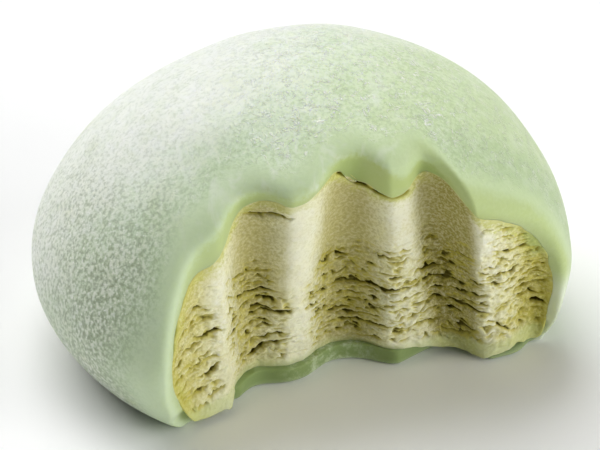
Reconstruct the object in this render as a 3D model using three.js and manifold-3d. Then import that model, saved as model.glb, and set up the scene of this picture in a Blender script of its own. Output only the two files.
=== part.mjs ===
// A mochi ice cream with one bite taken out of it: a ball of green tea ice cream in a skin of rice
// dough. Millimetres, +Z up. The origin is on the surface that the piece stands on, under the
// middle of the ball, and the bite is at the front, towards -Y and a little to the right.
import * as THREE from "three";
import Module from "manifold-3d";

const wasm = await Module();
wasm.setup();

// The whole ball, before the bite.
const ballRadius = 22.5;
const ballHeight = 26.3;
const widestHeight = 7.8; // height above the table at which the slumped ball is widest
const flatRadius = 17.2; // of the flat underside
const domeRoundness = 1.79; // 2 is an ellipse, 1 a cone
const footRoundness = 1.58;
const topLean = 1.8; // how far the top leans to +X
const lumpShare = 0.008; // the low unevenness of a ball rolled by hand, as a share of its radius
const footSpread = 2.8; // the foot is fuller at the bite's right end
const footSpreadAt = THREE.MathUtils.degToRad(66); // round the ball from the middle of the bite
const footSpreadWidth = THREE.MathUtils.degToRad(34);

// The underside: its rim is a little off the table, and it stands on a flat with few corners.
const rimOffTable = 0.12;
const standingRadius = 15;
const standingAngles = [75, 105, 140, 180, -140, -105, -75]; // in degrees, round from the bite

// The skin and the gap that keeps the two solids apart.
const skinThickness = 1.65;
const gap = 0.3;
const draggedSkin = 4.4; // extra thickness where the teeth pulled the skin down the cut
const draggedAcross = 2.5;
const draggedDepth = -12;
const draggedSpread = 3;
const draggedFade = 4; // how fast that fades below the top: a power of the height
const undersideInset = 0.6; // share of an inset by which the underside's radius shrinks

// The bite. "Across" runs along the row of tooth marks and "depth" runs into the ball.
const biteTurn = THREE.MathUtils.degToRad(22.6); // from +X to the across direction
const rimRounding = 2; // width of the rolled edge between the skin's outside and the cut
const footRounding = 0.6; // the same, near the table
const hollowShape = 1.3; // above 1, the hollows are wide and the edges between them narrow
const hollowSwell = 1.1; // the hollows are deeper by this much, halfway up
const leanCurve = 1.25; // 1 is a straight wall, more is steeper at the foot
// Edges between neighbouring tooth marks, as [across, depth] at the table and at the ball's top.
const ridges = [
  { foot: [-16.4, -12.1], top: [-19.0, -17.3] },
  { foot: [-10.5, -9.7], top: [-12.6, -11.1] },
  { foot: [-3.8, -6.7], top: [-5.8, -13.8] },
  { foot: [5.6, -8.2], top: [2.1, -13.4] },
  { foot: [12.9, -10.6], top: [7.2, -17.2] },
  { foot: [18.6, -11.4], top: [18.6, -18.6] },
];
// The tooth mark after each ridge, as [deepest, skew] at the table and at the top. A skew below 1
// puts the deepest place nearer to the left ridge.
const hollows = [
  { foot: [-0.2, 0.5], top: [0, 1] },
  { foot: [1.5, 0.6], top: [0.8, 1.3] },
  { foot: [2.1, 1.2], top: [1.4, 1.6] },
  { foot: [0.5, 2.6], top: [1.7, 1.6] },
  { foot: [1.5, 3.0], top: [-1.8, 1] },
];

// The skin under the ice cream sticks out left of the middle, and is set back towards both ends.
const footSkinOut = 0.6;
const footSkinBackLeft = 1.7;
const footSkinBackRight = 1.6;
const footSkinLeftEnd = [-10.5, -8.5]; // the set-back on the left ends between these places across
const footSkinRightStart = [3, 9.7]; // and the one on the right begins between these
const footSkinFade = [0.8, 2]; // heights between which all this ends, in skin thicknesses

// The torn lower half of the ice cream.
const tornHeight = 15.5; // above it the cut is smooth
const cragHeight = 0.6;
const cragPitch = 2.3;
const cragOpening = 0.5; // share of the pitch that gapes
const cragWaves = [
  { height: 0.8, rate: 0.42, shift: 0.8 },
  { height: 0.35, rate: 1.1, shift: 2.1 },
];
const cragUnevenness = { share: 0.4, rate: 0.8, shiftPerRow: 2.7 };
const cragsEnd = 0.6; // share of the torn height from which the crags fade out
const lipHeight = 3.2; // the smooth lip along the ice cream's lower edge

const wallShare = 0.84; // rings are even up to this share of a ball's height
const columnEvenness = 0.55; // 1 spaces the columns evenly, less draws them to the bite

const skinColour = 0xbdd1a8;
const iceCreamColour = 0xcfc98f;

const { clamp, lerp, smoothstep } = THREE.MathUtils;

const acrossAxis = new THREE.Vector2(Math.cos(biteTurn), Math.sin(biteTurn));
const depthAxis = new THREE.Vector2(-Math.sin(biteTurn), Math.cos(biteTurn));

// A place in the row's frame, from where it is across the bite and how deep.
function turned(across, depth) {
  return acrossAxis.clone().multiplyScalar(across).addScaledVector(depthAxis, depth);
}

// The larger of two numbers, with the corner between them rounded over `width`.
function smoothMax(a, b, width) {
  const near = Math.max(width - Math.abs(a - b), 0) / width;
  return Math.max(a, b) + (near * near * width) / 4;
}

// Depth at which the bite cuts, for a place across it and a height.
function biteDepth(across, height) {
  const level = clamp(height / ballHeight, 0, 1);
  const at = (pair, axis) => lerp(pair.foot[axis], pair.top[axis], level);
  const depthAt = (pair) => lerp(pair.foot[1], pair.top[1], level ** leanCurve);
  let mark = 0;
  while (mark < hollows.length - 1 && across > at(ridges[mark + 1], 0)) mark += 1;
  const [left, right] = [ridges[mark], ridges[mark + 1]];
  const straight = clamp((across - at(left, 0)) / (at(right, 0) - at(left, 0)), 0, 1);
  const share = straight ** at(hollows[mark], 1);
  const chord = lerp(depthAt(left), depthAt(right), smoothstep(share, 0, 1));
  const deepest = at(hollows[mark], 0) + hollowSwell * Math.sin(Math.PI * level);
  return chord + deepest * Math.cos((Math.PI / 2) * Math.abs(2 * share - 1) ** hollowShape) ** 2;
}

// The skin's own cut: the ice cream's, but for the foot.
function skinCut(across, height) {
  const backLeft = footSkinBackLeft * (1 - smoothstep(across, ...footSkinLeftEnd));
  const backRight = footSkinBackRight * smoothstep(across, ...footSkinRightStart);
  const foot = 1 - smoothstep(height / skinThickness, ...footSkinFade);
  return biteDepth(across, height) + foot * (backLeft + backRight - footSkinOut);
}

// The ice cream's cut: crags in its lower half, a smooth lip at its lower edge.
function iceCreamCut(across, height) {
  let level = height;
  for (const wave of cragWaves) level += wave.height * Math.sin(wave.rate * across + wave.shift);
  const row = Math.floor(level / cragPitch);
  const gape = Math.max(0, 1 - (level / cragPitch - row) / cragOpening);
  const { share, rate, shiftPerRow } = cragUnevenness;
  const strength = 1 - share + share * Math.sin(rate * across + shiftPerRow * row);
  const aboveLip = smoothstep(height, skinThickness, lipHeight);
  const belowSmooth = 1 - smoothstep(height, cragsEnd * tornHeight, tornHeight);
  return biteDepth(across, height) + aboveLip * belowSmooth * cragHeight * strength * gape;
}

function skinRounding(height) {
  return lerp(footRounding, rimRounding, smoothstep(height, skinThickness, widestHeight));
}

// Extra thickness of the skin, at its edge between two tooth marks.
function draggedThickness(across, depth) {
  const away = Math.hypot(across - draggedAcross, depth - draggedDepth) / draggedSpread;
  return draggedSkin * Math.exp(-away * away);
}

// The ball's radius at a height and at an angle round it from the bite, when shrunk by `inset`.
function radiusAt(height, angle, inset) {
  const radius = ballRadius - inset;
  const round = angle + biteTurn;
  const lumps = 1 + lumpShare * (Math.sin(3 * round) + Math.sin(2 * round));
  if (height >= widestHeight) {
    const share = clamp((height - widestHeight) / (ballHeight - inset - widestHeight), 0, 1);
    return lumps * radius * (1 - share ** domeRoundness) ** (1 / domeRoundness);
  }
  const spread = footSpread * Math.exp(-(((angle - footSpreadAt) / footSpreadWidth) ** 2));
  const flat = flatRadius - undersideInset * inset + spread;
  const share = clamp((widestHeight - height) / (widestHeight - inset), 0, 1);
  return lumps * (flat + (radius - flat) * (1 - share ** footRoundness) ** (1 / footRoundness));
}

// Heights of the rings: even up the wall of the bite, then closing in on the top.
function ringHeights(wallRings, capRings, inset) {
  const top = ballHeight - inset;
  const foot = inset + rimOffTable;
  const wallTop = lerp(foot, top, wallShare);
  const heights = [];
  for (let ring = 0; ring < wallRings; ring += 1) heights.push(lerp(foot, wallTop, ring / wallRings));
  for (let ring = 0; ring <= capRings; ring += 1) {
    heights.push(lerp(wallTop, top, Math.sin((Math.PI / 2) * (ring / capRings))));
  }
  return heights;
}

// A closed ball, shrunk by `inset`, with everything in front of `cut` pushed back to it.
function ball({ inset, columns, wallRings, capRings, cut, rounding, thicken }) {
  const heights = ringHeights(wallRings, capRings, inset);
  const rings = heights.length - 1;
  const places = [];
  heights.forEach((height, ring) => {
    const lean = topLean * (height / ballHeight) ** 2;
    const count = ring === rings ? 1 : columns;
    for (let column = 0; column < count; column += 1) {
      const turn = (2 * column) / columns - 1;
      const angle = Math.PI * lerp(turn ** 3, turn, columnEvenness);
      const radius = radiusAt(height, angle, inset);
      const across = radius * Math.sin(angle) + lean * acrossAxis.x;
      let depth = lean * depthAxis.x - radius * Math.cos(angle);
      const drop = thicken ? thicken(across, depth) * (height / ballHeight) ** draggedFade : 0;
      if (cut) depth = smoothMax(depth, cut(across, height), rounding(height));
      const { x, y } = turned(across, depth);
      places.push([x, y, height - drop]);
    }
  });
  const top = rings * columns;
  const faces = [];
  for (let ring = 0; ring < rings; ring += 1) {
    for (let column = 0; column < columns; column += 1) {
      const next = (column + 1) % columns;
      const [a, b] = [ring * columns + column, ring * columns + next];
      if (ring === rings - 1) {
        faces.push([a, b, top]);
        continue;
      }
      const [c, d] = [a + columns, b + columns];
      const shorterFirst = (column + ring) % 2 === 0;
      faces.push(...(shorterFirst ? [[a, b, d], [a, d, c]] : [[a, b, c], [b, d, c]]));
    }
  }
  // The underside runs from its rim to the flat that it stands on.
  const rim = places.slice(0, columns).map(([x, y]) => new THREE.Vector2(x, y));
  const standing = standingAngles.map((degrees) => {
    const angle = THREE.MathUtils.degToRad(degrees);
    return turned(standingRadius * Math.sin(angle), -standingRadius * Math.cos(angle));
  });
  places.push(...standing.map(({ x, y }) => [x, y, inset]));
  const underside = [...rim, ...standing];
  const aroundFlat = THREE.ShapeUtils.triangulateShape(rim, [standing]);
  const onFlat = THREE.ShapeUtils.triangulateShape(standing, []);
  for (const face of [...aroundFlat, ...onFlat.map((corners) => corners.map((at) => at + columns))]) {
    const facesUp = THREE.ShapeUtils.area(face.map((at) => underside[at])) > 0;
    const [a, b, c] = face.map((at) => (at < columns ? at : at - columns + top + 1));
    faces.push(facesUp ? [a, c, b] : [a, b, c]);
  }
  return new wasm.Manifold(
    new wasm.Mesh({
      numProp: 3,
      vertProperties: new Float32Array(places.flat()),
      triVerts: new Uint32Array(faces.flat()),
    }),
  );
}

function namedMesh(name, solid, material) {
  const { numProp, vertProperties, triVerts } = solid.getMesh();
  const geometry = new THREE.BufferGeometry();
  const data = new THREE.InterleavedBuffer(vertProperties, numProp);
  geometry.setAttribute("position", new THREE.InterleavedBufferAttribute(data, 3, 0));
  geometry.setIndex(new THREE.BufferAttribute(triVerts, 1));
  geometry.computeVertexNormals();
  const mesh = new THREE.Mesh(geometry, material);
  mesh.name = name;
  return mesh;
}

// The skin: the bitten ball, less the whole ball of ice cream, which also opens it at the bite.
function mochiSkin() {
  const outside = ball({
    inset: 0,
    columns: 80,
    wallRings: 20,
    capRings: 8,
    cut: skinCut,
    rounding: skinRounding,
  });
  const inside = ball({
    inset: skinThickness,
    columns: 56,
    wallRings: 10,
    capRings: 6,
    thicken: draggedThickness,
  });
  const material = new THREE.MeshStandardMaterial({ color: skinColour, roughness: 0.6, metalness: 0 });
  return namedMesh("mochi_skin", outside.subtract(inside), material);
}

function iceCream() {
  const solid = ball({
    inset: skinThickness + gap,
    columns: 84,
    wallRings: 30,
    capRings: 5,
    cut: iceCreamCut,
    rounding: () => footRounding,
    thicken: draggedThickness,
  });
  const material = new THREE.MeshStandardMaterial({ color: iceCreamColour, roughness: 0.75, metalness: 0 });
  return namedMesh("ice_cream", solid, material);
}

const mochi = new THREE.Group();
mochi.add(mochiSkin(), iceCream());

export default mochi;
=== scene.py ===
# Dresses a bitten mochi ice cream: a ball of green tea ice cream in a skin of rice dough.
# Shapes are worked out in millimetres and turned into metres when a mesh is made.
import itertools
import math

import bpy
import numpy as np
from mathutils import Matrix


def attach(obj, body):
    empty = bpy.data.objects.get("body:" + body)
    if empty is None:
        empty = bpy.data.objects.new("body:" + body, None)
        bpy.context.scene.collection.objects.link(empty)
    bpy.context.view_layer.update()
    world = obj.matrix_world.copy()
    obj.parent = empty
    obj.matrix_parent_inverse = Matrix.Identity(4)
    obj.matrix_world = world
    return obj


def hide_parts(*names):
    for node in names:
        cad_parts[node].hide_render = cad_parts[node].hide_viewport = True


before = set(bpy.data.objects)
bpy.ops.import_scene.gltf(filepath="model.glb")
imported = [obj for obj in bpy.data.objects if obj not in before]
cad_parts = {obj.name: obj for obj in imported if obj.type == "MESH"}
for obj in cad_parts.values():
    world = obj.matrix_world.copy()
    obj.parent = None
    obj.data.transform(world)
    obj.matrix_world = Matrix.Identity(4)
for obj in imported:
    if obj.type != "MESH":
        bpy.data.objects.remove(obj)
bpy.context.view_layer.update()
print("frame loaded")

metre = 1000  # in millimetres


# The camera looks down on the bite from the front. Its lengths are in metres.
cameraSetup = {
    "elevation": math.radians(32.5),
    "distance": 0.315,
    "aim": (-0.00007, 0, 0.007875),
    "raise": 0.00199,  # and this far up in its own view
    "lens": 227.7,
    "nearest": 0.01,
}


def makeCamera(setup):
    data = bpy.data.cameras.new("camera")
    data.lens = setup["lens"]
    data.clip_start = setup["nearest"]
    camera = bpy.data.objects.new("camera", data)
    bpy.context.scene.collection.objects.link(camera)
    x, y, z = setup["aim"]
    sine, cosine = math.sin(setup["elevation"]), math.cos(setup["elevation"])
    y += setup["raise"] * sine
    z += setup["raise"] * cosine
    camera.location = (x, y - setup["distance"] * cosine, z + setup["distance"] * sine)
    camera.rotation_euler = (math.pi / 2 - setup["elevation"], 0, 0)
    bpy.context.scene.camera = camera


makeCamera(cameraSetup)
print("camera placed")


# small helpers for shapes

def mix(a, b, share):
    return a + (b - a) * share


def ease(value, start, end):  # 0 before start, 1 after end, smooth between them
    share = np.clip((value - start) / (end - start), 0, 1)
    return share * share * (3 - 2 * share)


def roundedMax(a, b, width):  # the larger of two, with the corner rounded over a width
    near = np.maximum(width - np.abs(a - b), 0) / width
    return np.maximum(a, b) + near * near * width / 4


def hump(off, width):  # 1 in the middle, fading to both sides
    return np.exp(-(off / width) ** 2)


# A smooth random field, about -1 to 1. A squash below 1 makes its lumps flatter than wide.
def noise(places, size, seed, squash=1.0):
    cells, apart, gain = 32, 7.3, 1.7  # before it repeats; between seeds; to reach about 1
    arrows = np.random.default_rng(seed).normal(size=(cells, cells, cells, 3))
    arrows /= np.linalg.norm(arrows, axis=-1, keepdims=True)
    scaled = places / (size * np.array([1, 1, squash])) + apart * seed
    cell = np.floor(scaled).astype(int)
    local = scaled - cell
    fade = local ** 3 * (local * (local * 6 - 15) + 10)
    total = 0
    for corner in itertools.product((0, 1), repeat=3):
        at = (cell + corner) % cells
        arrow = arrows[at[..., 0], at[..., 1], at[..., 2]]
        weight = np.prod(np.where(np.array(corner) == 1, fade, 1 - fade), axis=-1)
        total = total + weight * ((local - corner) * arrow).sum(-1)
    return total * gain


# Several of them on one another: a list of (by how much, size, seed), with a squash where needed.
def lumpy(places, layers):
    return sum(far * noise(places, size, seed, *squash) for far, size, seed, *squash in layers)


# The whole ball, with the main sizes of the solids. Across runs along the row of tooth marks, depth
# runs into the ball, and both start under its middle. Angles go round it from the bite.
ball = {
    "radius": 22.5,
    "height": 26.3,
    "widest": 7.8,  # height at which the slumped ball is widest
    "flat": 17.2,  # radius of its underside
    "undersideInset": 0.6,  # how much of an inset the underside's radius takes
    "domeRoundness": 1.79,
    "footRoundness": 1.58,
    "lean": 1.8,
    "lumps": 0.008,
    "spread": 2.8,  # the foot spreads at one side
    "spreadAt": math.radians(66),
    "spreadWidth": math.radians(34),
    "lowestRing": 0.02,  # above the underside
    "skin": 1.65,  # thickness of the skin
    # where the teeth pulled the skin down: (by how much, across, depth, spread)
    "dragged": [(5.8, 2.9, -11.3, 2.9), (3.2, 0.3, -9.5, 1.3)],
    "draggedFade": 4,
    # where the skin is thinner or thicker: (share, angle, its width, height, its spread)
    "thinner": [
        (0.6, 66, 26, 0, 6.5), (0.5, -52, 12, 0, 2.5),
        (-0.85, -50, 9, 16.5, 3.2), (0.75, -11, 9, 22, 2.2),
    ],
    # the inside of the skin wanders to and from a point
    "wanders": [(0.2, 2.2, 81), (0.09, 1.2, 82)],
    "wanderFrom": (0, 0, 8),
    "wanderLevel": (3, 6),  # only sideways below the first height, freely above the second
    "wanderAbove": 3,  # in full from this height up
}

bite = {
    "turn": math.radians(22.6),
    # edges between tooth marks: (across, depth) at the table and at the ball's top
    "ridges": [
        ((-16.4, -12.1), (-19.0, -17.3)),
        ((-10.5, -9.7), (-12.6, -11.1)),
        ((-3.8, -6.7), (-5.8, -13.8)),
        ((5.6, -8.2), (2.1, -13.4)),
        ((12.9, -10.6), (7.2, -17.2)),
        ((18.6, -11.4), (18.6, -18.6)),
    ],
    # the marks between them: (deepest, skew) at the table and at the top
    "hollows": [
        ((-0.2, 0.5), (0, 1)),
        ((1.5, 0.6), (0.8, 1.3)),
        ((2.1, 1.2), (1.4, 1.6)),
        ((0.5, 2.6), (1.7, 1.6)),
        ((1.5, 3.0), (-1.8, 1)),
    ],
    "shape": 1.3,
    "swell": 1.1,  # the marks are deeper by this much, halfway up
    "leanCurve": 1.25,
    "skewCurve": 0.35,  # how early the skew changes on the way up
}


# Radius of the ball at a height, shrunk by an inset.
def radiusAt(height, angle, inset):
    radius = ball["radius"] - inset
    facing = angle + bite["turn"]
    lumps = 1 + ball["lumps"] * (np.sin(3 * facing) + np.sin(2 * facing))
    up = np.clip((height - ball["widest"]) / (ball["height"] - inset - ball["widest"]), 0, 1)
    down = np.clip((ball["widest"] - height) / (ball["widest"] - inset), 0, 1)
    spread = ball["spread"] * hump(angle - ball["spreadAt"], ball["spreadWidth"])
    flat = ball["flat"] - ball["undersideInset"] * inset + spread
    dome = radius * (1 - up ** ball["domeRoundness"]) ** (1 / ball["domeRoundness"])
    rounded = (1 - down ** ball["footRoundness"]) ** (1 / ball["footRoundness"])
    foot = flat + (radius - flat) * rounded
    thin = 0
    for share, at, width, level, spreadUp in ball["thinner"]:
        off = ((np.degrees(angle) - at) / width) ** 2 + ((height - level) / spreadUp) ** 2
        thin = thin + share * np.exp(-off)
    return lumps * np.where(height >= ball["widest"], dome, foot) + inset * thin


# Depth of the cut, and how far that lies behind the edges of the tooth mark.
def biteCut(across, height):
    level = np.clip(height / ball["height"], 0, 1)
    lean = level ** bite["leanCurve"]
    edges = [
        (mix(foot[0], top[0], level), mix(foot[1], top[1], lean)) for foot, top in bite["ridges"]
    ]
    depth, sunk = np.zeros_like(across), np.zeros_like(across)
    for mark, (foot, top) in enumerate(bite["hollows"]):
        (left, leftDepth), (right, rightDepth) = edges[mark], edges[mark + 1]
        straight = np.clip((across - left) / (right - left), 0, 1)
        share = straight ** mix(foot[1], top[1], level ** bite["skewCurve"])
        chord = mix(leftDepth, rightDepth, share * share * (3 - 2 * share))
        deepest = mix(foot[0], top[0], level) + bite["swell"] * np.sin(np.pi * level)
        hollow = deepest * np.cos(np.pi / 2 * np.abs(2 * share - 1) ** bite["shape"]) ** 2
        here = (across > left) | (mark == 0)
        depth = np.where(here, chord + hollow, depth)
        sunk = np.where(here, hollow, sunk)
    return depth, sunk


# From (across, depth, height) to x, y, z in the part's frame.
def turned(places):
    cosine, sine = math.cos(bite["turn"]), math.sin(bite["turn"])
    across, depth, height = places[..., 0], places[..., 1], places[..., 2]
    return np.stack([across * cosine - depth * sine, across * sine + depth * cosine, height], -1)


# Heights of rings a step apart along the ball's side, from just above the table to the top.
def ringHeights(step, inset):
    samples, lowest = 4000, ball["lowestRing"]
    rising = (1 - np.cos(np.linspace(0, np.pi, samples))) / 2
    fine = inset + lowest + (ball["height"] - inset - lowest) * rising
    radii = radiusAt(fine, np.zeros_like(fine) + np.pi, inset)
    run = np.concatenate([[0], np.cumsum(np.hypot(np.diff(fine), np.diff(radii)))])
    return np.interp(np.linspace(0, run[-1], int(run[-1] / step) + 1), run, fine)[:-1]


# Angles round the ball, closest where the bite is. An evenness of 1 spaces the columns evenly
# across the bite, 0 evenly round the ball. Front and both steps are in degrees.
def columnAngles(front, frontStep, backStep, evenness=0):
    half = math.radians(front)
    row = np.linspace(-1, 1, int(2 * front / frontStep), endpoint=False)
    bitten = mix(row * half, np.arcsin(row * math.sin(half)), evenness)
    backColumns = int((360 - 2 * front) / backStep)
    rest = np.linspace(half, 2 * math.pi - half, backColumns, endpoint=False)
    return np.concatenate([bitten, rest])


def draggedDown(across, depth, places):
    return sum(
        far * np.exp(-((across - x) ** 2 + (depth - y) ** 2) / spread ** 2)
        for far, x, y, spread in places
    )


# A grid of places on the side of the ball, shrunk by an inset: (rings, columns, 3).
def ballSide(heights, angles, inset, dragged=False):
    height, angle = np.meshgrid(heights, angles, indexing="ij")
    wrapped = (angle + np.pi) % (2 * np.pi) - np.pi
    radius = radiusAt(height, wrapped, inset)
    lean = ball["lean"] * (height / ball["height"]) ** 2
    across = radius * np.sin(angle) + lean * math.cos(bite["turn"])
    depth = -lean * math.sin(bite["turn"]) - radius * np.cos(angle)
    if dragged:
        down = draggedDown(across, depth, ball["dragged"])
        height = height - down * (height / ball["height"]) ** ball["draggedFade"]
    places = np.stack([across, depth, height], -1)
    if dragged:
        outward = places - np.array(ball["wanderFrom"])
        outward[..., 2] *= ease(height, *ball["wanderLevel"])
        outward /= np.linalg.norm(outward, axis=-1, keepdims=True) + 0.001  # never 0 long
        wander = lumpy(places, ball["wanders"])
        places = places + outward * (wander * ease(height, inset, ball["wanderAbove"]))[..., None]
    return places


def depthInside(across, depth, height, inset):  # how far in from the ball's side, on the level
    lean = ball["lean"] * (height / ball["height"]) ** 2
    overAcross = across - lean * math.cos(bite["turn"])
    overDepth = depth + lean * math.sin(bite["turn"])
    angle = np.arctan2(overAcross, -overDepth)
    return radiusAt(height, angle, inset) - np.hypot(overAcross, overDepth)


# Faces of a side that is closed by a top point and by an underside drawn in to its middle.
def closedFaces(rings, columns, undersideRings):
    faces = []
    column = np.arange(columns)
    nextColumn = (column + 1) % columns
    allRings = rings + undersideRings
    for ring in range(allRings - 1):
        low, high = ring * columns, (ring + 1) * columns
        faces.append(
            np.stack([low + column, low + nextColumn, high + nextColumn, high + column], -1)
        )
    quads = np.concatenate(faces)
    last, under, top = (allRings - 1) * columns, allRings * columns, allRings * columns + 1
    triangles = np.concatenate([
        np.stack([nextColumn, column, np.full(columns, under)], -1),
        np.stack([last + column, last + nextColumn, np.full(columns, top)], -1),
    ])
    return quads.tolist() + triangles.tolist()


underside = {
    "rings": 6,
    "middle": (4, 14),  # far enough back for straight lines to the whole rim
    "innermost": 0.25,  # share of the way from there to the rim
    "crowding": 0.5,  # below 1, the rings crowd towards the rim
    "lateLift": 6,  # the higher, the nearer to the rim it leaves the table
    "lumpSize": 2.5,
    "seed": 61,
}


def closeBall(side, inset, rings=underside["rings"], uneven=0):
    rim = side[0]
    middle = np.array([*underside["middle"], inset])
    inner = underside["innermost"]
    below = []
    for step in range(rings):
        share = step / rings
        lift = share ** underside["lateLift"]
        ring = mix(middle, rim, inner + (1 - inner) * share ** underside["crowding"])
        ring[:, 2] = inset + (rim[:, 2] - inset) * lift
        lumps = noise(ring, underside["lumpSize"], underside["seed"])
        ring[:, 2] += uneven * (1 + lumps) * (1 - lift)
        below.append(ring)
    top = side[-1].mean(axis=0)
    points = np.concatenate([*below, side.reshape(-1, 3), middle[None], top[None]])
    return points, closedFaces(len(side), side.shape[1], rings)


def meshObject(name, points, faces):
    mesh = bpy.data.meshes.new(name)
    mesh.from_pydata((turned(points) / metre).tolist(), [], faces)
    mesh.shade_smooth()
    mesh.update()
    made = bpy.data.objects.new(name, mesh)
    bpy.context.scene.collection.objects.link(made)
    return made


def addField(mesh, name, values):
    field = mesh.attributes.new(name, "FLOAT", "POINT")
    field.data.foreach_set("value", np.ascontiguousarray(values, np.float32))


def meshPlaces(mesh):  # (across, depth, height) of a mesh's points, in millimetres
    flat = np.zeros(len(mesh.vertices) * 3, np.float32)
    mesh.vertices.foreach_get("co", flat)
    x, y, z = (flat.reshape(-1, 3) * metre).T.astype(float)
    cosine, sine = math.cos(bite["turn"]), math.sin(bite["turn"])
    return np.stack([x * cosine + y * sine, y * cosine - x * sine, z], -1)


# The rice dough skin: the bitten ball less the ball of ice cream inside it.
skinShape = {
    "step": 0.2,
    "front": 80,
    "frontStep": 0.4,
    "backStep": 1.6,
    "innerStep": 0.3,
    "innerFrontStep": 0.7,
    "innerBackStep": 2,
    "rimRounding": 1.6,
    "footRounding": 0.6,
    "lowHeight": 7.8,  # the edge is fully rolled from this height up
    # the foot of the cut
    "footCurl": 0.5,
    "footOut": 0.6,
    "footHeights": (0.8, 2),  # it ends between these, in thicknesses of the skin
    "footBackLeft": (1.7, -10.5, -8.5),  # set back by the first, until between the other two
    "footBackRight": (1.6, 3, 9.7),  # the same, from between the other two
    # a thin tongue of skin is left under the ice cream, at the right
    "tongue": 0.4,
    "tongueEdge": 0.1,
    "tongueFrom": (11, 12.5),
    "tongueBack": 0.5,
    # dents and swellings, to and from a point inside the ball
    "middle": (0, 0, 6),
    "dents": 0.16,
    "dentSize": 7,
    "dentSeed": 3,
    "dentsAbove": (0.2, 3),
    "swollenRim": 0.12,
    "swollenBehind": 2.2,  # the cut
    "swollenWidth": 1.6,
    "swollenAbove": (3, 9),
    "undersideRings": 36,
    "uneven": 0.02,
    # what the dough's material needs to know
    "underFrom": 0.35,  # how far in its outer surface ends
    "cameDown": (2.2, 4.2, -12.4, 1.5),  # and where the teeth took it along
    "deepestUnder": 6,
    "underUntil": (2, 5),
    "farFromCut": 12,
}


def skinCut(across, height):
    shape = skinShape
    leftBy, leftStart, leftEnd = shape["footBackLeft"]
    backLeft = leftBy * (1 - ease(across, leftStart, leftEnd))
    rightBy, rightStart, rightEnd = shape["footBackRight"]
    backRight = rightBy * ease(across, rightStart, rightEnd)
    tongue, edge = shape["tongue"], shape["tongueEdge"]
    low = (1 - ease(height, tongue - edge, tongue + edge)) * ease(across, *shape["tongueFrom"])
    backRight = mix(backRight, shape["tongueBack"], low)
    foot = 1 - ease(height / ball["skin"], *shape["footHeights"])
    curl = shape["footCurl"]
    under = 1 - np.sqrt(1 - (1 - np.clip(height / curl, 0, 1)) ** 2)
    cut = biteCut(across, height)[0]
    return cut + foot * (backLeft + backRight - shape["footOut"]) + curl * under


# The outside of the skin, open below: dented, swollen along the rim and rolled in at the cut.
def skinSide(shape):
    angles = columnAngles(shape["front"], shape["frontStep"], shape["backStep"])
    side = ballSide(ringHeights(shape["step"], 0), angles, 0)
    across, depth, height = side[..., 0], side[..., 1], side[..., 2]
    outward = side - np.array(shape["middle"])
    outward /= np.linalg.norm(outward, axis=-1, keepdims=True)
    behind = depth - skinCut(across, height)
    dents = shape["dents"] * noise(side, shape["dentSize"], shape["dentSeed"])
    swollen = shape["swollenRim"] * hump(behind - shape["swollenBehind"], shape["swollenWidth"])
    swollen *= ease(height, *shape["swollenAbove"])
    foot = ease(height, *shape["dentsAbove"])
    side = side + outward * ((dents - shape["dents"]) * foot + swollen)[..., None]
    rolled = ease(height, ball["skin"], shape["lowHeight"])
    rounding = mix(shape["footRounding"], shape["rimRounding"], rolled)
    side[..., 1] = roundedMax(side[..., 1], skinCut(side[..., 0], side[..., 2]), rounding)
    return side


def hollowOut(outside, inside):  # takes one object from another, and keeps the result as its mesh
    cutter = outside.modifiers.new("hollow", "BOOLEAN")
    cutter.operation = "DIFFERENCE"
    cutter.object = inside
    cutter.solver = "MANIFOLD"
    evaluated = outside.evaluated_get(bpy.context.evaluated_depsgraph_get())
    mesh = bpy.data.meshes.new_from_object(evaluated)
    outside.modifiers.clear()
    outside.data = mesh
    bpy.data.objects.remove(inside)


def makeSkin():
    shape, thickness = skinShape, ball["skin"]
    closed = closeBall(skinSide(shape), 0, shape["undersideRings"], shape["uneven"])
    skin = meshObject("mochi_skin_dough", *closed)
    innerAngles = columnAngles(shape["front"], shape["innerFrontStep"], shape["innerBackStep"])
    innerHeights = ringHeights(shape["innerStep"], thickness)
    hollow = ballSide(innerHeights, innerAngles, thickness, dragged=True)
    hollowOut(skin, meshObject("inside", *closeBall(hollow, thickness)))
    mesh = skin.data
    mesh.shade_smooth()
    across, depth, height = meshPlaces(mesh).T
    behind = depth - skinCut(across, height)
    under = depthInside(across, depth, height, 0) - shape["underFrom"]
    under -= draggedDown(across, depth, [shape["cameDown"]])
    under = np.clip(under, 0, shape["deepestUnder"]) * (1 - ease(behind, *shape["underUntil"]))
    addField(mesh, "underSurface", under)
    addField(mesh, "fromCut", np.clip(behind, 0, shape["farFromCut"]))
    addField(mesh, "sunk", biteCut(across, height)[1])
    return skin


skin = makeSkin()
print("skin made,", len(skin.data.polygons), "faces")


# The ice cream: one filling that reaches just into the skin, smooth above and torn below.
iceShape = {
    "step": 0.06,
    "capFrom": 18,  # height from which the rings follow the dome
    "capStep": 0.14,
    "front": 70,
    "frontStep": 0.34,
    "backStep": 3,
    "evenness": 0.6,
    "intoSkin": 0.05,
    "rounding": 0.3,
    # the edges between the marks are blunt and wander, less so high up
    "blunt": 0.4,
    "ridgeWanders": [(0.4, 3.4, 61), (0.22, 1.2, 62)],
    "uneven": [(0.16, 2.4, 63), (0.1, 1.1, 64)],
    "steadier": 0.7,
    "steadierAbove": (9, 15),
    "grain": [(0.03, 0.4, 51)],
    "sag": 1.3,  # the foot hangs over the skin's edge where that is set back
    "sagHeight": 2.5,
    "sagOver": (0.1, 1.6),
    "edgeHeight": 0.5,  # at which that edge is found
    "skinEdge": 0.05,  # less than this far in, the filling is still at the skin
    "onCut": (0.05, 0.8),
    "narrowing": 1.3,  # how much narrower the edge near the skin is at the top
}

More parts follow.
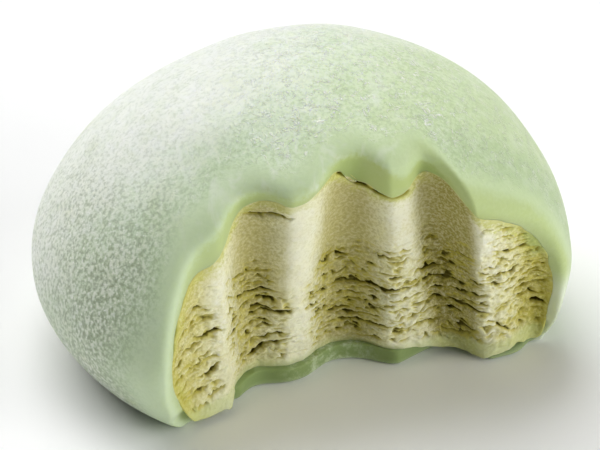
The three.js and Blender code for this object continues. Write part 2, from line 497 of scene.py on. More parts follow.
# The torn part of its face. Heights and places across are in millimetres.
tearing = {
    "upTo": 12.8,
    "fades": (4, 1),  # from this far below the top edge to this far above
    "ragged": [(2.2, 4.5, 5)],
    "higherInMarks": 0.5,  # times how deep the mark is, up to the next
    "deepMark": 2,
    "higherAtRight": (3.5, 9.6, 11.6),  # by how much, from between these places
    "lip": (2.0, 2.9),  # a smooth lip below these heights
    # how torn the edges between the marks are
    "leftEdges": 0.2,
    "rightEdges": 0.7,
    "rightFrom": (0, 3),
    "inMarks": (0.1, 1.2),  # torn as on the edges at the first depth, fully at the second
    "leftEnd": (0.55, -10.9, -11.8),  # how torn, from between these places on
    "rightEnd": (0.75, 12.5, 13.5),
    "smoothCorner": (0.8, (15.6, 17.2), (10, 12)),  # how smooth, from across, from height
    "second": (0.75, (-7, -6), (-4.6, -3.8), (9, 12)),  # a mark at least so torn: from, to, below
    "jagged": [(0.3, 1.3, 8, 0.7), (0.2, 0.55, 9), (0.1, 0.28, 10)],
    "warped": [(0.8, 6, 7)],
    # rows of cracks: (pitch, depth, width below, width above, length, sparseness, seed)
    "rows": [
        (1.3, 0.75, 0.18, 0.07, 1.5, 0.0, 11),
        (0.85, 0.55, 0.13, 0.06, 1.0, -0.04, 23),
        (0.5, 0.28, 0.09, 0.04, 0.7, 0.04, 37),
    ],
    "rowStart": 0.3,
    "rowShift": (5.1, 3.3, 9.7),  # so that no two rows are alike
    "comesAndGoes": (0.2, 0.35),
    "narrowest": 0.6,  # a crack's width where it is weakest
    "widens": 0.6,
    "bulge": 0.16,  # each row stands out about its crack
    "fullBulge": 2.1,  # pitch at which it would stand out by all of that
    # the widest tears: (across, height, half its length, gape, rise to the right)
    "tears": [
        (1.9, 8.2, 1.3, 0.2, 0), (4.3, 8.2, 1.7, 0.28, -0.05), (3.8, 10.0, 1.0, 0.18, 0),
        (3.8, 11.8, 1.2, 0.14, 0), (-7.0, 18.7, 1.8, 0.28, 0.05), (10.3, 15.2, 0.6, 0.16, 0),
        (7.0, 9.5, 1.3, 0.18, 0), (9.4, 10.2, 0.9, 0.18, 0), (9.5, 8.3, 0.9, 0.18, 0),
        (8.6, 6.1, 1.1, 0.26, 0.1), (10.8, 5.6, 1.1, 0.26, -0.2), (10.4, 7.4, 0.8, 0.2, 0),
        (6.8, 5.1, 0.9, 0.2, 0.8), (10.2, 2.9, 1.6, 0.18, 0), (3.3, 4.0, 1.4, 0.18, 0),
        (12.7, 9.6, 1.6, 0.24, 0.1),
        (16.0, 7.2, 1.8, 0.18, 0.2), (14.4, 6.0, 2.6, 0.1, 0), (14.0, 3.3, 1.3, 0.24, -0.6),
        (-5.6, 8.0, 2.0, 0.26, -0.05), (-6.6, 9.9, 1.1, 0.18, 0.1), (-5.4, 4.1, 1.9, 0.24, 0.4),
        (0.9, 5.1, 1.2, 0.2, -0.1), (-13.8, 11.5, 1.1, 0.18, 0.2), (-11.9, 8.7, 1.4, 0.2, 0.1),
        (-11.8, 5.2, 0.7, 0.24, 0.6), (-13.7, 8.0, 1.0, 0.18, 0.3), (-11.6, 3.2, 1.0, 0.2, 0.2),
        (-12.6, 6.6, 0.8, 0.16, 0.4), (-13.2, 9.9, 0.8, 0.14, 0.2), (-12.9, 3.6, 0.7, 0.16, 0.3),
    ],
    "tearDepth": 2.6,  # in gapes
    "tearEnds": 0.25,  # share of the gape at a tear's ends
    "tearAbove": 0.5,  # a tear is steeper above
    "ledge": 0.14,  # what stands out below a tear
    "ledgeBelow": 2,  # in gapes
    "ledgeWidth": 1.2,
    "pits": 0.5,
    "pitted": [(1, 0.8, 41, 0.55)],
    "pitsFrom": 0.2,
    "crumbs": 0.16,
    "coarseCrumbs": (0.9, 43, 0.7),
    "fineCrumbs": (0.45, 44),
    "fineCrumbShare": 0.5,
    "crumbLevel": 0.7,
}

# The crack where the filling leaves the skin, over the third mark.
seam = {
    "depth": 0.65,
    "below": 0.25,  # the filling's top edge
    "width": 0.16,
    "broken": (1.3, 71),
    "brokenShare": (-0.4, 0.1),
    "shallowest": 0.5,
    "from": (-1.6, -0.6),
    "to": (4.2, 5),
    "above": (14, 16),
    "onCut": (0.02, 0.15),
}


# The bite's cut with blunter edges that wander, and how far it lies behind them.
def creamCut(across, height):
    shape = iceShape
    flat = np.stack([across, np.zeros_like(across), height], -1)
    lower = 1 - shape["steadier"] * ease(height, *shape["steadierAbove"])
    wander = lower * lumpy(flat, shape["ridgeWanders"])
    shifts = (-shape["blunt"], 0, shape["blunt"])
    cuts = [biteCut(across + wander + shift, height) for shift in shifts]
    uneven = lower * lumpy(flat, shape["uneven"])
    return sum(cut[0] for cut in cuts) / 3 + uneven, sum(cut[1] for cut in cuts) / 3


# How torn the face is, from 0 where it is smooth to 1. The edges between the marks are smoother.
def tornShare(places, sunk):
    across, height = places[..., 0], places[..., 2]
    upper = tearing["upTo"] + lumpy(places, tearing["ragged"])
    upper += tearing["higherInMarks"] * np.minimum(sunk, tearing["deepMark"])
    higher, start, end = tearing["higherAtRight"]
    upper += higher * ease(across, start, end)
    below, above = tearing["fades"]
    torn = (1 - ease(height, upper - below, upper + above)) * ease(height, *tearing["lip"])
    edges = mix(tearing["leftEdges"], tearing["rightEdges"], ease(across, *tearing["rightFrom"]))
    share = mix(edges, 1, ease(sunk, *tearing["inMarks"]))
    for much, start, end in (tearing["leftEnd"], tearing["rightEnd"]):
        share = mix(share, much, ease(across, start, end))
    smooth, right, high = tearing["smoothCorner"]
    share *= 1 - smooth * ease(across, *right) * ease(height, *high)
    much, start, end, top = tearing["second"]
    second = ease(across, *start) * (1 - ease(across, *end)) * (1 - ease(height, *top))
    return torn * np.maximum(share, much * second)


# Rows of cracks that come and go, each along a bulge.
def crackRows(places, level):
    relief = np.zeros_like(level)
    before, after = tearing["comesAndGoes"]
    for pitch, depth, below, above, length, sparse, seed in tearing["rows"]:
        rowLevel = (level + tearing["rowStart"] * pitch) / pitch
        line = np.round(rowLevel)
        off = (rowLevel - line) * pitch  # above the crack if positive
        shifted = places * np.array([1, 1, 0]) + line[..., None] * np.array(tearing["rowShift"])
        strength = ease(noise(shifted, length, seed), sparse - before, sparse + after)
        widened = tearing["narrowest"] + tearing["widens"] * strength
        width = np.where(off > 0, above, below) * widened
        relief += strength * depth * hump(off, width)
        apart = (off / pitch * 2) ** 2  # 0 on the crack's line, 1 halfway to the next
        relief -= (1 - apart) * tearing["bulge"] * pitch / tearing["fullBulge"]
    return relief


def wideTears(across, level):  # each gapes most in its middle, over a ledge that stands out
    tears = np.zeros_like(level)
    for at, height, half, gape, rise in tearing["tears"]:
        along = across - at
        off = level - height - rise * along
        taper = np.sqrt(np.clip(1 - (along / half) ** 2, 0, 1))
        width = gape * mix(tearing["tearEnds"], 1, taper)
        width *= np.where(off > 0, tearing["tearAbove"], 1)
        tears += taper * gape * tearing["tearDepth"] * hump(off, width)
        fromLedge = (off + tearing["ledgeBelow"] * gape) / gape
        tears -= taper * tearing["ledge"] * hump(fromLedge, tearing["ledgeWidth"])
    return tears


# How far the torn face lies back from the bite's cut, and how torn it is.
def tornRelief(places, sunk):
    height = places[..., 2]
    jagged = lumpy(places, tearing["jagged"])
    relief = crackRows(places, height + (lumpy(places, tearing["warped"]) + jagged))
    pits = np.clip(lumpy(places, tearing["pitted"]) - tearing["pitsFrom"], 0, 1) * tearing["pits"]
    crumbs = np.abs(noise(places, *tearing["coarseCrumbs"]))
    crumbs += tearing["fineCrumbShare"] * np.abs(noise(places, *tearing["fineCrumbs"]))
    relief += pits + tearing["bulge"] + tearing["crumbs"] * (tearing["crumbLevel"] - crumbs)
    torn = tornShare(places, sunk)
    return torn * relief + wideTears(places[..., 0], height + jagged), torn


def seamDepth(places, below, fromSkin):
    across, height = places[..., 0], places[..., 2]
    broken = ease(noise(places, *seam["broken"]), *seam["brokenShare"])
    share = mix(seam["shallowest"], 1, broken) * ease(height, *seam["above"])
    share *= ease(across, *seam["from"]) * (1 - ease(across, *seam["to"]))
    share *= hump(below - seam["below"], seam["width"])
    return seam["depth"] * share * ease(fromSkin, *seam["onCut"])


def iceHeights(inset):
    wall = np.arange(inset + ball["lowestRing"], iceShape["capFrom"], iceShape["step"])
    cap = ringHeights(iceShape["capStep"], inset)
    return np.concatenate([wall, cap[cap > iceShape["capFrom"]]])


def makeIceCream():
    shape = iceShape
    inset = ball["skin"] - shape["intoSkin"]
    angles = columnAngles(shape["front"], shape["frontStep"], shape["backStep"], shape["evenness"])
    side = ballSide(iceHeights(inset), angles, inset, dragged=True)
    cut, sunk = creamCut(side[..., 0], side[..., 2])
    plain = side.copy()
    plain[..., 1] = roundedMax(side[..., 1], cut, shape["rounding"])
    fromSkin = plain[..., 1] - side[..., 1]
    onCut = ease(fromSkin, *shape["onCut"])
    topEdge = np.where(fromSkin > shape["skinEdge"], plain[..., 2], 0).max(axis=0)
    below = topEdge - plain[..., 2]
    relief, torn = tornRelief(plain, sunk)
    relief = relief * onCut + seamDepth(plain, below, fromSkin)
    side = plain.copy()
    side[..., 1] += relief + lumpy(plain, shape["grain"]) * onCut
    points, faces = closeBall(side, inset)
    edge = skinCut(points[:, 0], np.full(len(points), shape["edgeHeight"]))
    low = 1 - ease(points[:, 2], inset, inset + shape["sagHeight"])
    points[:, 2] -= shape["sag"] * low * ease(edge - points[:, 1], *shape["sagOver"])
    made = meshObject("ice_cream_filling", points, faces)
    inside = depthInside(*np.moveaxis(plain, -1, 0), inset)
    nearSkin = np.minimum(inside, shape["narrowing"] * below)
    fields = {"crack": relief, "nearSkin": nearSkin, "sunk": sunk * onCut, "torn": torn * onCut}
    start = len(points) - 2 - sunk.size  # the side's points lie before the middle and the top
    for name, values in fields.items():
        whole = np.zeros(len(points))
        whole[start:start + sunk.size] = values.ravel()
        addField(made.data, name, whole)
    return made


iceCream = makeIceCream()
print("ice cream made,", len(iceCream.data.polygons), "faces")


# Shader values that can be reckoned with: an expression on them adds Math nodes.
class Value:
    def __init__(self, finish, socket):
        self.finish = finish
        self.socket = socket

    def maths(self, operation, *others):
        return self.finish.maths(operation, self, *others)

    def __add__(self, other):
        return self.maths("ADD", other)

    def __radd__(self, other):
        return self.finish.maths("ADD", other, self)

    def __sub__(self, other):
        return self.maths("SUBTRACT", other)

    def __rsub__(self, other):
        return self.finish.maths("SUBTRACT", other, self)

    def __mul__(self, other):
        return self.maths("MULTIPLY", other)

    def __rmul__(self, other):
        return self.finish.maths("MULTIPLY", other, self)

    def __truediv__(self, other):
        return self.maths("DIVIDE", other)

    def __rtruediv__(self, other):
        return self.finish.maths("DIVIDE", other, self)

    def __abs__(self):
        return self.maths("ABSOLUTE")

    def clipped(self):
        return self.maths("MAXIMUM", 0).maths("MINIMUM", 1)

    # 0 at start, 1 at end, smooth between them
    def eased(self, start, end):
        settings = {"interpolation_type": "SMOOTHSTEP"}
        return self.finish.node("ShaderNodeMapRange", settings, [self, start, end, 0, 1])


middleTone = 0.5  # of a noise


class Finish:  # a material and its nodes, made from the numbers of a look
    def __init__(self, name, look=None):
        self.look = look
        self.ways = {}  # what the look's places are measured along
        self.material = bpy.data.materials.new(name)
        self.material.use_nodes = True
        self.tree = self.material.node_tree
        self.tree.nodes.clear()

    # Adds a node: sockets is a list in the node's own order, or a dictionary by name. It gives back
    # the first output, or the ones that are named.
    def node(self, kind, settings, sockets, *outputs):
        made = self.tree.nodes.new(kind)
        for name, value in settings.items():
            setattr(made, name, value)
        shown = [socket for socket in made.inputs if socket.enabled]
        if isinstance(sockets, dict):
            shown = [next(s for s in shown if s.name == name) for name in sockets]
            sockets = sockets.values()
        for socket, value in zip(shown, sockets):
            if isinstance(value, Value):
                self.tree.links.new(value.socket, socket)
            else:
                socket.default_value = value
        given = [Value(self, socket) for socket in made.outputs if socket.enabled]
        if outputs:
            return [next(v for v in given if v.socket.name == name) for name in outputs]
        return given[0] if given else None

    def maths(self, operation, *values):
        return self.node("ShaderNodeMath", {"operation": operation}, values)

    def place(self):
        return self.node("ShaderNodeTexCoord", {}, {}, "Object")[0]

    def axes(self, place, names="XYZ"):  # in millimetres
        return [axis * metre for axis in self.node("ShaderNodeSeparateXYZ", {}, [place], *names)]

    def field(self, name):
        return self.node("ShaderNodeAttribute", {"attribute_name": name}, {}, "Fac")[0]

    # one of the look's noises: the size of its largest lumps in millimetres, and how they break up
    def noise(self, place, name):
        size, detail, roughness, distortion = self.look["noises"][name]
        sockets = {"Vector": place, "Scale": metre / size, "Detail": detail, "Roughness": roughness}
        return self.node("ShaderNodeTexNoise", {}, {**sockets, "Distortion": distortion})

    def cells(self, place, size):
        return self.node("ShaderNodeTexVoronoi", {}, {"Vector": place, "Scale": metre / size})

    def stretched(self, place, scale, turn=(0, 0, 0)):
        sockets = {"Vector": place, "Scale": scale, "Rotation": turn}
        return self.node("ShaderNodeMapping", {}, sockets)

    # how much of something lies here: the product of its shares along all the ways it names
    def lying(self, name):
        places = self.look["places"][name]
        shares = [self.ways[way].eased(none, whole) for way, none, whole in places]
        return math.prod(shares[1:], start=shares[0])

    def slope(self, name, *axes):  # a level that rises or falls along the axes
        level, *runs = self.look["slopes"][name]
        return sum((axis / run for axis, run in zip(axes, runs)), level)

    def blend(self, share, first, second):
        colours = [c if isinstance(c, Value) else (*c, 1) for c in (first, second)]
        return self.node("ShaderNodeMix", {"data_type": "RGBA"}, [share, *colours])

    # grains about a middle tone: darker below it, lighter above
    def grained(self, colour, tone, amount, dark, light):
        colour = self.blend(((middleTone - tone) * 2 * amount).clipped(), colour, dark)
        return self.blend(((tone - middleTone) * 2 * amount).clipped(), colour, light)

    def bump(self, height, distance, strength):
        sockets = {"Height": height, "Distance": distance / metre, "Strength": strength}
        return self.node("ShaderNodeBump", {}, sockets)

    def finish(self, sockets):
        shader = self.node("ShaderNodeBsdfPrincipled", {}, sockets)
        self.node("ShaderNodeOutputMaterial", {}, {"Surface": shader})
        return self.material


def linear(red, green, blue):  # from the 0 to 255 of a colour picker
    parts = [part / 255 for part in (red, green, blue)]
    return tuple(p / 12.92 if p <= 0.04045 else ((p + 0.055) / 1.055) ** 2.4 for p in parts)


# The dough's finish.
doughFinish = {
    "mint": linear(214, 232, 202),
    "leaf": linear(203, 221, 172),
    "moist": linear(204, 222, 170),  # thin skin near the bite
    "belt": linear(172, 196, 146),  # greener, a little behind the bite
    "frost": linear(245, 248, 241),
    # greyer and darker low on the left: partly the dough's own grey, partly painted shade
    "dusk": linear(178, 188, 160),
    "shadow": linear(150, 160, 134),
    "speck": linear(126, 140, 104),
    "light": linear(253, 255, 248),
    "cutEdge": linear(184, 200, 118),
    # darker olive at the hollow tops: partly the thin edge's own green, partly painted shade
    "shadedHollowEdge": linear(146, 168, 84),
    # darker green at the cut's foot: partly the cut dough's own green, partly painted shade
    "foot": linear(134, 154, 92),
    "footFrost": linear(204, 216, 182),
    # how much of a colour lies over what is below it
    "amounts": {
        "moist": 0.5, "rightEnd": 0.6, "belt": 0.45, "frost": 0.85, "dusk": 0.5, "shadow": 0.6,
        "cloud": 0.12, "streak": 0.4, "cutEdge": 0.8, "shadedHollowEdge": 0.7, "glow": 0.4,
        "footFrost": 0.8,
    },
    # where it lies: (along what, none of it there, all of it there), in millimetres
    "places": {
        "away": [("fromCut", 1, 4)],
        "moist": [("fromCut", 6, 0.5)],
        "rightEnd": [("x", 6, 13), ("z", 6, 10), ("raggedCut", 1.7, 0.2)],
        "belt": [("fromCut", 1.5, 3.5), ("fromCut", 9, 5)],
        "beltGap": [("x", -6, -2), ("x", 12, 8)],
        "dusk": [("fromCut", 2.5, 7)],
        "offLeftEnd": [("x", -21, -17)],
        "shadow": [("z", 7, 1), ("x", -9, -14), ("fromCut", 1, 4)],
        "specks": [("fromCut", 1, 4), ("x", 20, 8)],
        "right": [("x", -8, 2)],
        "top": [("z", 10, 16), ("x", 15, 9)],
        "streak": [("z", 16, 21), ("x", 12, 5)],
        "narrower": [("x", 8, 13)],
        "leftPart": [("x", -4, -7.5)],
        "thinEnd": [("x", 16.5, 18.5)],
        "cutEdge": [("mottledUnder", 0, 1.8)],
        "shadedHollowEdge": [("sunk", 1, 2.6), ("x", 17.5, 14.5), ("mottledUnder", 0.3, 2.2)],
        "glow": [("x", 18, 19.5), ("fromCut", 2.5, 0.5), ("z", 9, 6)],
        "foot": [("z", 3, 1.4), ("under", 0, 0.5), ("x", -9.5, -8)],
        "smear": [("x", -2.6, 0.9), ("x", 7.4, 3.9)],
        "lowest": [("z", 0.8, 0)],
        "onFoot": [("z", 2.2, 1.6), ("under", 0, 0.5)],
    },
    # a level, and the millimetres along x, y and z that raise it by 1, or lower it if negative
    "slopes": {"leaf": (0.5, 36), "frost": (-0.2, -24, 24, 30), "dusk": (0.2, -24, -30, -26)},
    # (size, detail, roughness, distortion)
    "noises": {
        "broad": (14, 3, 0.5, 0), "patchy": (4, 4, 0.6, 0), "grain": (0.33, 3, 0.6, 0),
        "fine": (0.17, 1, 0.5, 0), "cloud": (1.5, 3, 0.6, 0), "fibre": (1.1, 2, 0.6, 1.6),
        "tuft": (0.8, 2, 0.6, 0), "streak": (3.2, 3, 0.6, 1.2), "smear": (0.9, 4, 0.7, 0),
    },
    # how much of which noise is added to what
    "added": {
        "broadLeaf": 0.8, "broadFrost": 1.4, "patchyFrost": 0.8, "patchyDusk": 0.9,
        "patchyCut": 2, "patchyUnder": 2.4, "grainUnder": 1.6,
    },
    # tones with none of something and with all of it
    "tones": {
        "leaf": (0.15, 0.95), "frost": (0.2, 1.05), "dusk": (0, 0.9), "cloud": (0.36, 0.64),
        "grain": (0.34, 0.66), "dot": (0.34, 0.1), "sparkle": (0.44, 0.58),
        "tuft": (0.44, 0.58), "streak": (0.5, 0.72), "smear": (0.4, 0.7),
    },
    # shares of an effect that add up: everywhere, and more in some places
    # the painted shade low on the left is halved at the far left edge
    "duskShares": {"all": 0.5, "offLeftEnd": 0.5},
    "speckShares": {"all": 0.03, "dusk": 0.38, "away": 0.19},
    "sparkleShares": {"all": 0.12, "dusk": 0.65, "frost": 0.12},
    "fibreShares": {"all": 0.3, "right": 0.7},
    "topFibreShares": {"all": 0.4, "top": 0.6},
    "grainShares": {"all": 0.1, "dusk": 0.75, "right": 0.15},  # in the bump
    "bumps": {"sparkle": 0.4, "fibres": 0.7},
    "narrowerBy": 0.5,  # millimetres that the green edge loses at the right
    # the thin right end loses most of the green edge: painted light, as of light through the skin
    "lessGreen": {"leftPart": 0.12, "thinEnd": 0.5},
    "lowestSmear": 0.4,
    "dotSize": 0.32,
    "wiped": ((1.4, 0.7, 1), (0, 0, 0.6)),  # scale and turn
    "fibreNarrowness": 24,
    "roughness": 0.6,
    "sparkleRoughness": 0.35,
    "bumpHeight": 0.14,
    "bumpStrength": 0.8,
    "shader": {
        "Subsurface Weight": 0.35,
        "Subsurface Radius": (1.0, 1.0, 0.5),
        "Subsurface Scale": 0.0012,
        "Specular IOR Level": 0.4,
        "Sheen Weight": 0.1,
        "Sheen Roughness": 0.5,
    },
}


def addUp(shares, **parts):  # what an effect has everywhere, and what each part adds to it
    return sum((part * shares[name] for name, part in parts.items()), shares["all"])


def doughMaterial():
    look = doughFinish
    amount, more, tones = look["amounts"], look["added"], look["tones"]
    made = Finish("rice dough", look)
    place = made.place()
    x, y, z = made.axes(place)
    broad = made.noise(place, "broad") - middleTone
    patchy = made.noise(place, "patchy") - middleTone
    grain = made.noise(place, "grain")
    fromCut, under, sunk = [made.field(name) for name in ("fromCut", "underSurface", "sunk")]
    made.ways = {"x": x, "z": z, "fromCut": fromCut, "under": under, "sunk": sunk}
    made.ways["raggedCut"] = fromCut + patchy * more["patchyCut"]
    mottled = patchy * more["patchyUnder"] + (grain - middleTone) * more["grainUnder"]
    mottled = mottled - made.lying("narrower") * look["narrowerBy"]
    made.ways["mottledUnder"] = under + mottled
    away, right = made.lying("away"), made.lying("right")

    # the dough itself, from mint to leaf green, moister and greener round the bite
    leaf = (made.slope("leaf", x) + broad * more["broadLeaf"]).eased(*tones["leaf"])
    colour = made.blend(leaf, look["mint"], look["leaf"])
    colour = made.blend(made.lying("moist") * amount["moist"], colour, look["moist"])
    colour = made.blend(made.lying("rightEnd") * amount["rightEnd"], colour, look["cutEdge"])
    belt = made.lying("belt") * (1 - made.lying("beltGap"))
    colour = made.blend(belt * amount["belt"], colour, look["belt"])

    # starch frost lies thickest on the left; low on the left the dough is greyer, partly its own
    # grey and partly painted shade
    frost = made.slope("frost", x, y, z) + broad * more["broadFrost"] + patchy * more["patchyFrost"]
    frost = frost.eased(*tones["frost"]) * away
    dusk = made.slope("dusk", x, y, z) + patchy * more["patchyDusk"]
    dusk = dusk.eased(*tones["dusk"]) * made.lying("dusk")
    dusk = dusk * addUp(look["duskShares"], offLeftEnd=made.lying("offLeftEnd"))
    colour = made.blend(frost * amount["frost"], colour, look["frost"])
    colour = made.blend(dusk * amount["dusk"], colour, look["dusk"])
    colour = made.blend(made.lying("shadow") * amount["shadow"], colour, look["shadow"])

    # clouds, specks, shining dots of starch and short pale fibres
    cloud = made.noise(place, "cloud").eased(*tones["cloud"])
    colour = made.grained(colour, cloud, away * amount["cloud"], look["belt"], look["light"])
    speckled = addUp(look["speckShares"], dusk=dusk, away=made.lying("specks"))
    tone = grain.eased(*tones["grain"])
    colour = made.grained(colour, tone, speckled, look["speck"], look["light"])
    bright = ((made.noise(place, "fine") + grain) / 2).eased(*tones["sparkle"])
    sparkle = made.cells(place, look["dotSize"]).eased(*tones["dot"]) * bright
    sparkle = sparkle * addUp(look["sparkleShares"], dusk=dusk, frost=frost) * away
    colour = made.blend(sparkle, colour, look["light"])
    offLine = abs(made.noise(place, "fibre") - middleTone)
    fibres = (1 - offLine * look["fibreNarrowness"]).clipped()
    fibres = fibres * made.noise(place, "tuft").eased(*tones["tuft"])
    fibres = fibres * (1 - dusk) * away * addUp(look["fibreShares"], right=right)
    onTop = addUp(look["topFibreShares"], top=made.lying("top"))
    colour = made.blend(fibres * onTop, colour, look["light"])

    # streaks where starch was wiped along the top
    wiped = made.stretched(place, *look["wiped"])
    streak = made.noise(wiped, "streak").eased(*tones["streak"]) * made.lying("streak")
    colour = made.blend(streak * amount["streak"], colour, look["frost"])

    # the edge towards the bite is greener, with painted shade at the hollow tops and painted light
    # at the thin end
    # less green at the left part, and at the thin end painted lighter, as of light through the skin
    green = amount["cutEdge"]
    for name, less in look["lessGreen"].items():
        green = green - made.lying(name) * less
    colour = made.blend(made.lying("cutEdge") * green, colour, look["cutEdge"])
    # at the hollow tops, darker olive: partly its own green, partly painted shade
    colour = made.blend(made.lying("shadedHollowEdge") * amount["shadedHollowEdge"], colour, look["shadedHollowEdge"])
    # a painted glow low at the thin right end, as of light through the skin
    colour = made.blend(made.lying("glow") * amount["glow"], colour, look["light"])

    # the foot of the cut, darker green partly of its own and partly as painted shade, with starch
    # smeared over its middle
    colour = made.blend(made.lying("foot"), colour, look["foot"])
    smear = made.noise(place, "smear").eased(*tones["smear"]) * made.lying("smear")
    smear = (smear + made.lying("lowest") * look["lowestSmear"]).clipped() * made.lying("onFoot")
    colour = made.blend(smear * amount["footFrost"], colour, look["footFrost"])

    bumps = look["bumps"]
    raised = grain * addUp(look["grainShares"], dusk=dusk, right=right)
    raised = raised + sparkle * bumps["sparkle"] + fibres * bumps["fibres"]
    return made.finish({
        "Base Color": colour,
        "Roughness": look["roughness"] - sparkle * (look["roughness"] - look["sparkleRoughness"]),
        "Normal": made.bump(raised, look["bumpHeight"], look["bumpStrength"]),
        **look["shader"],
    })


# The ice cream's finish, with its numbers laid out in the same way.
creamFinish = {
    "light": linear(243, 242, 214),
    "mid": linear(230, 226, 178),
    "shade": linear(178, 168, 92),
    "glow": linear(198, 188, 74),
    # the darkest olive: partly the cream's own colour, partly painted shade in cracks and in the
    # fourth mark
    "deep": linear(92, 84, 8),
    "edge": linear(206, 208, 106),
    "lip": linear(204, 212, 146),
    "green": linear(176, 192, 112),
    "amounts": {
        "shade": 0.8, "edge": 0.75, "ends": 0.6, "lowEnd": 0.4, "torn": 0.55, "second": 0.3,
        "fourth": 0.9, "fourthDeep": 0.1, "ridge": 0.5, "corner": 0.8, "lip": 0.65,
        "crackGlow": 0.75,
    },
    "places": {
        # painted highlights on the edges between the marks, where no tear is
        "edgeHighlight": [("sunk", 0.6, 0)],
        "shade": [("unevenMark", 0.3, 2.4)],
        "edge": [("mottledEdge", 1.8, 0.2)],
        "leftEnd": [("x", -6.4, -8.6)],
        "rightEnd": [("x", 16.8, 18.4)],
        "lowEnd": [("x", 15.4, 16.6), ("z", 9.5, 7.5)],
        # painted shade on the right of the second mark and over the fourth
        "second": [("x", -5.4, -4.2), ("x", -0.4, -1.4), ("z", 6, 9)],
        "fourth": [("x", 8.6, 11.4), ("x", 15.2, 14.2), ("sunk", 0, 0.8)],
        # a painted highlight on the edge between the second and third marks
        "ridge": [("x", -1.4, -0.4), ("x", 2.4, 1.4), ("sunk", 0.8, 0)],
        "marks": [("sunk", 0, 1)],
        "corner": [("raggedX", 18.2, 20), ("raggedZ", 10.5, 13)],
        "lip": [("lipZ", 3.5, 2.3)],
        # yellower about the cracks and darker in them: partly the cream's colour, partly painted
        # shade
        "crackGlow": [("depth", 0.24, 0.46)],
        "crack": [("depth", 0.42, 0.72)],
    },
    "noises": {"grain": (0.26, 3, 0.65, 0), "broad": (4, 3, 0.6, 0), "flat": (1.3, 4, 0.65, 0)},
    "flatness": (1, 1, 2.2),
    "added": {
        "broadMark": 1.2, "flatEdge": 4, "grainEdge": 2, "broadCorner": 2, "broadLip": 1.6,
        "grainCrack": 0.3,
    },
    "tones": {
        "pale": (0.375, 0.667), "ends": (0.2, 0.52), "lowEnd": (0.35, 0.6), "torn": (0.5, 0.66),
        "grain": (0.34, 0.66),
    },
    # how strong the painted highlight on the edges is
    "edgeHighlightShare": 0.4,
    "speckShares": {"all": 0.05, "marks": 0.14, "torn": 0.03, "fourth": 0.12},
    "roughness": 0.7,
    "bumpHeight": 0.06,
    "bumpStrength": 0.6,
    "shader": {
        "Subsurface Weight": 0.3,
        "Subsurface Radius": (1.0, 0.9, 0.35),
        "Subsurface Scale": 0.0006,
        "Specular IOR Level": 0.3,
    },
}


def creamMaterial():
    look = creamFinish
    amount, more, tones = look["amounts"], look["added"], look["tones"]
    made = Finish("green tea ice cream", look)
    place = made.place()
    x, z = made.axes(place, "XZ")
    crack, nearSkin, sunk, torn = [made.field(n) for n in ("crack", "nearSkin", "sunk", "torn")]
    grain = made.noise(place, "grain")
    broad = made.noise(place, "broad")
    flat = made.noise(made.stretched(place, look["flatness"]), "flat")
    mottled = (flat - middleTone) * more["flatEdge"] + (grain - middleTone) * more["grainEdge"]
    made.ways = {
        "x": x,
        "z": z,
        "sunk": sunk,
        "unevenMark": sunk + (broad - middleTone) * more["broadMark"],
        "mottledEdge": nearSkin + mottled,
        "raggedX": x + broad * more["broadCorner"],
        "raggedZ": z + broad * more["broadCorner"],
        "lipZ": z + broad * more["broadLip"],
        "depth": crack + grain * more["grainCrack"],
    }

    # pale in patches, with painted highlights on the edges between the marks, painted shade in the
    # marks, yellow-green near the skin
    pale = ((broad + grain) / 2).eased(*tones["pale"])
    pale = pale + made.lying("edgeHighlight") * (1 - torn) * look["edgeHighlightShare"]
    colour = made.blend(pale, look["mid"], look["light"])
    colour = made.blend(made.lying("shade") * amount["shade"], colour, look["shade"])
    colour = made.blend(made.lying("edge") * amount["edge"], colour, look["edge"])

    # the ends of the row and what is torn are yellower
    ends = (made.lying("leftEnd") + made.lying("rightEnd")) * flat.eased(*tones["ends"])
    colour = made.blend(ends * amount["ends"], colour, look["glow"])
    lowEnd = made.lying("lowEnd") * flat.eased(*tones["lowEnd"])
    colour = made.blend(lowEnd * amount["lowEnd"], colour, look["glow"])
    yellow = torn * flat.eased(*tones["torn"])
    colour = made.blend(yellow * amount["torn"], colour, look["glow"])

    # painted shade on the right of the second mark and over the fourth, a painted highlight on the
    # edge between two of them
    second, fourth = made.lying("second"), made.lying("fourth")
    darker = second * amount["second"] + fourth * amount["fourth"]
    colour = made.blend(darker, colour, look["shade"])
    colour = made.blend(fourth * amount["fourthDeep"], colour, look["deep"])
    colour = made.blend(made.lying("ridge") * amount["ridge"], colour, look["light"])
    speckled = addUp(look["speckShares"], marks=made.lying("marks"), torn=torn, fourth=fourth)
    tone = grain.eased(*tones["grain"])
    colour = made.grained(colour, tone, speckled, look["deep"], look["light"])

    # a green upper corner at the right, a pale lip along the foot, and the cracks, darker partly as
    # painted shade
    colour = made.blend(made.lying("corner") * amount["corner"], colour, look["green"])
    colour = made.blend(made.lying("lip") * amount["lip"], colour, look["lip"])
    colour = made.blend(made.lying("crackGlow") * amount["crackGlow"], colour, look["glow"])
    colour = made.blend(made.lying("crack"), colour, look["deep"])
    return made.finish({
        "Base Color": colour,
        "Roughness": look["roughness"],
        "Normal": made.bump(grain, look["bumpHeight"], look["bumpStrength"]),
        **look["shader"],
    })


def dress(piece, material, node):
    piece.data.materials.clear()
    piece.data.materials.append(material)
    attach(piece, "root")
    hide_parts(node)


dress(skin, doughMaterial(), "mochi_skin")
dress(iceCream, creamMaterial(), "ice_cream")
print("materials made")


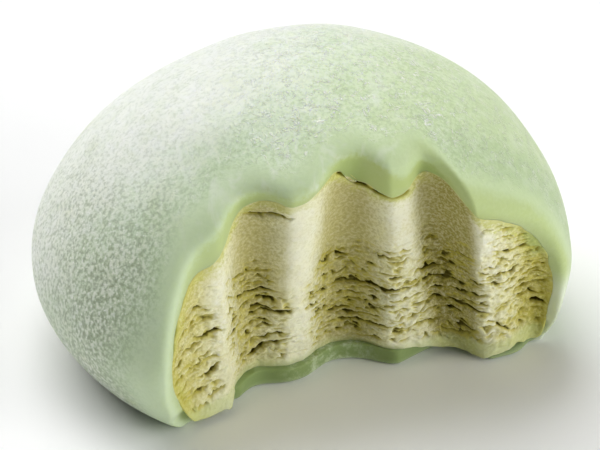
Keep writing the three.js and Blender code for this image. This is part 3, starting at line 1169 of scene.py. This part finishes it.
# Floor and light, in metres. A light's level is the brightness it gives to a white surface that
# faces it. Round is its direction in degrees, from the front towards the right.
studio = {
    "floor": 3.0,
    "floorColour": (0.97, 0.97, 0.97),
    "floorRoughness": 0.9,
    "sky": (0.97, 1.0, 1.0),
    "skyLevel": 0.09,
    "lights": [
        {"name": "key", "round": 219, "up": 52, "away": 0.8, "size": 0.9, "level": 1.06},
        {"name": "right", "round": 62, "up": 15, "away": 0.8, "size": 0.42, "level": 0.44},
        {"name": "side", "round": 78, "up": 38, "away": 0.8, "size": 0.35, "level": 0.14},
        {"name": "overhead", "round": 180, "up": 80, "away": 0.8, "size": 0.4, "level": 0.12},
    ],
}


def makeFloor():
    half = studio["floor"] / 2
    mesh = bpy.data.meshes.new("floor")
    corners = [(-half, -half, 0), (half, -half, 0), (half, half, 0), (-half, half, 0)]
    mesh.from_pydata(corners, [], [(0, 1, 2, 3)])
    floor = bpy.data.objects.new("floor", mesh)
    bpy.context.scene.collection.objects.link(floor)
    paper = {"Base Color": (*studio["floorColour"], 1), "Roughness": studio["floorRoughness"]}
    mesh.materials.append(Finish("floor paper").finish(paper))


def makeLight(setup):
    data = bpy.data.lights.new(setup["name"], "AREA")
    data.shape = "DISK"
    data.size = setup["size"]
    data.energy = setup["level"] * math.pi ** 2 * setup["away"] ** 2
    light = bpy.data.objects.new(setup["name"], data)
    bpy.context.scene.collection.objects.link(light)
    around, up = math.radians(setup["round"]), math.radians(setup["up"])
    towards = (
        math.sin(around) * math.cos(up), -math.cos(around) * math.cos(up), math.sin(up),
    )
    light.location = [part * setup["away"] for part in towards]
    light.rotation_euler = light.location.to_track_quat("Z", "Y").to_euler()


def makeSky():
    world = bpy.data.worlds.new("studio")
    world.use_nodes = True
    sky = world.node_tree.nodes["Background"]
    sky.inputs["Color"].default_value = (*studio["sky"], 1)
    sky.inputs["Strength"].default_value = studio["skyLevel"]
    bpy.context.scene.world = world
    bpy.context.scene.view_settings.view_transform = "Standard"


makeFloor()
for lightSetup in studio["lights"]:
    makeLight(lightSetup)
makeSky()
print("studio made")
